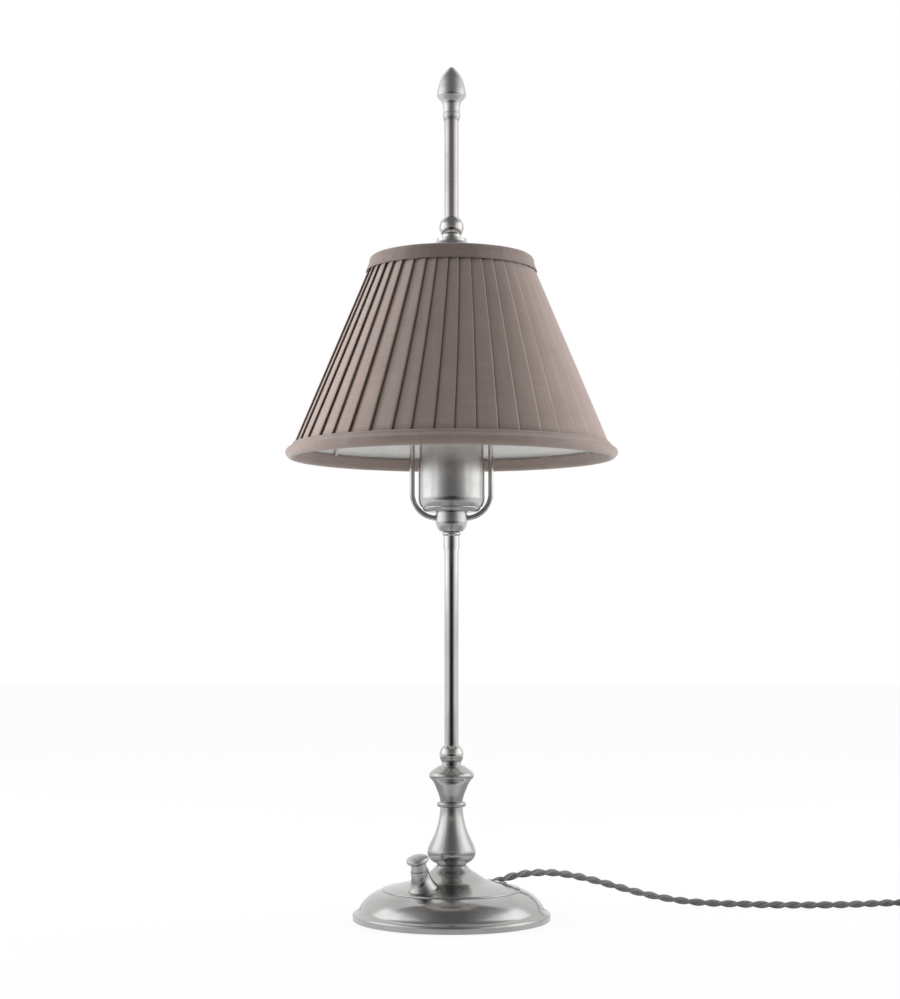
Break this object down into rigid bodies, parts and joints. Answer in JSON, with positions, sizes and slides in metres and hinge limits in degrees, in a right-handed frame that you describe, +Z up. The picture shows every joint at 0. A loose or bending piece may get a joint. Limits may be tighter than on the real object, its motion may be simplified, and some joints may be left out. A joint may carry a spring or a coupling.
{
  "type": "table lamp",
  "caption": "Table lamp with a weighted dome base, push switch, turned stem, wire harp, pleated cone shade, acorn finial and twisted textile cord.",
  "frame": {"origin": "centre of the base's underside, on the table", "axes": "+Z up along the stem, -Y towards the viewer of the front, +X to the viewer's right, where the cord leaves"},
  "size_m": [0.5516, 0.2276, 0.6],
  "materials": {
    "nickel": "polished nickel plate on turned brass, lightly aged",
    "felt": "pressed felt",
    "iron": "raw casting",
    "zinc_steel": "zinc plated",
    "black_plastic": "moulded",
    "wire_sleeve": "wire insulation",
    "porcelain": "glazed porcelain",
    "contact_brass": "bare brass",
    "bulb_glass": "opal glass",
    "frame_wire": "white coated wire",
    "shade_cloth": "pleated taupe cloth",
    "lining_cloth": "smooth white lining",
    "trim_cloth": "rolled taupe trim",
    "cord_braid": "twisted textile cord",
    "tie_strap": "woven hook strap",
    "plug_plastic": "moulded dark brown"
  },
  "bodies": {
    "lamp_body": {"felt_pad": "felt", "base_shell": "nickel", "base_weight": "iron", "base_washer": "zinc_steel", "base_nut": "zinc_steel", "switch_bezel": "nickel", "switch_body": "black_plastic", "switch_nut": "zinc_steel", "switch_spring": "zinc_steel", "cord_gland": "nickel", "base_lead": "wire_sleeve", "baluster": "nickel", "lower_ball": "nickel", "stem_tube": "nickel", "stem_wires": "wire_sleeve", "stem_ferrule": "nickel", "harp_hub": "nickel", "harp_arm_left": "nickel", "harp_arm_right": "nickel", "harp_yoke": "nickel", "lampholder_cap": "nickel", "lampholder_shell": "nickel", "lampholder_insert": "porcelain", "screw_contact": "contact_brass", "centre_contact": "contact_brass", "fitter_cap": "nickel", "fitter_washer": "nickel", "cord_lead": "cord_braid", "cord_coil": "cord_braid", "cord_tie": "tie_strap", "plug_body": "plug_plastic", "plug_pins": "contact_brass"},
    "button": {"switch_button": "nickel"},
    "bulb": {"bulb_cap": "zinc_steel", "bulb_glass": "bulb_glass"},
    "shade": {"shade_spider": "frame_wire", "shade_top_ring": "frame_wire", "shade_bottom_ring": "frame_wire", "shade_struts": "frame_wire", "shade_cover": "shade_cloth", "shade_lining": "lining_cloth", "shade_top_band": "trim_cloth", "shade_hem": "trim_cloth"},
    "top_rod": {"ball_nut": "nickel", "upper_rod": "nickel", "acorn_finial": "nickel"}
  },
  "joints": [
    {"name": "switch_push", "type": "slide", "parent": "lamp_body", "child": "button", "axis": [0.1728, 0.2562, -0.9511], "range_m": [0, 0.0032], "stiffness_N_per_m": 900, "springref_m": -0.001, "deforming": ["switch_spring"]},
    {"name": "shade_turn", "type": "hinge", "parent": "lamp_body", "child": "shade", "pos_m": [0, 0, 0.4718], "axis": [0, 0, 1], "continuous": true},
    {"name": "top_rod_turn", "type": "hinge", "parent": "lamp_body", "child": "top_rod", "pos_m": [0, 0, 0.488], "axis": [0, 0, 1], "continuous": true},
    {"name": "bulb_turn", "type": "hinge", "parent": "lamp_body", "child": "bulb", "pos_m": [0, 0, 0.33], "axis": [0, 0, 1], "continuous": true}
  ]
}
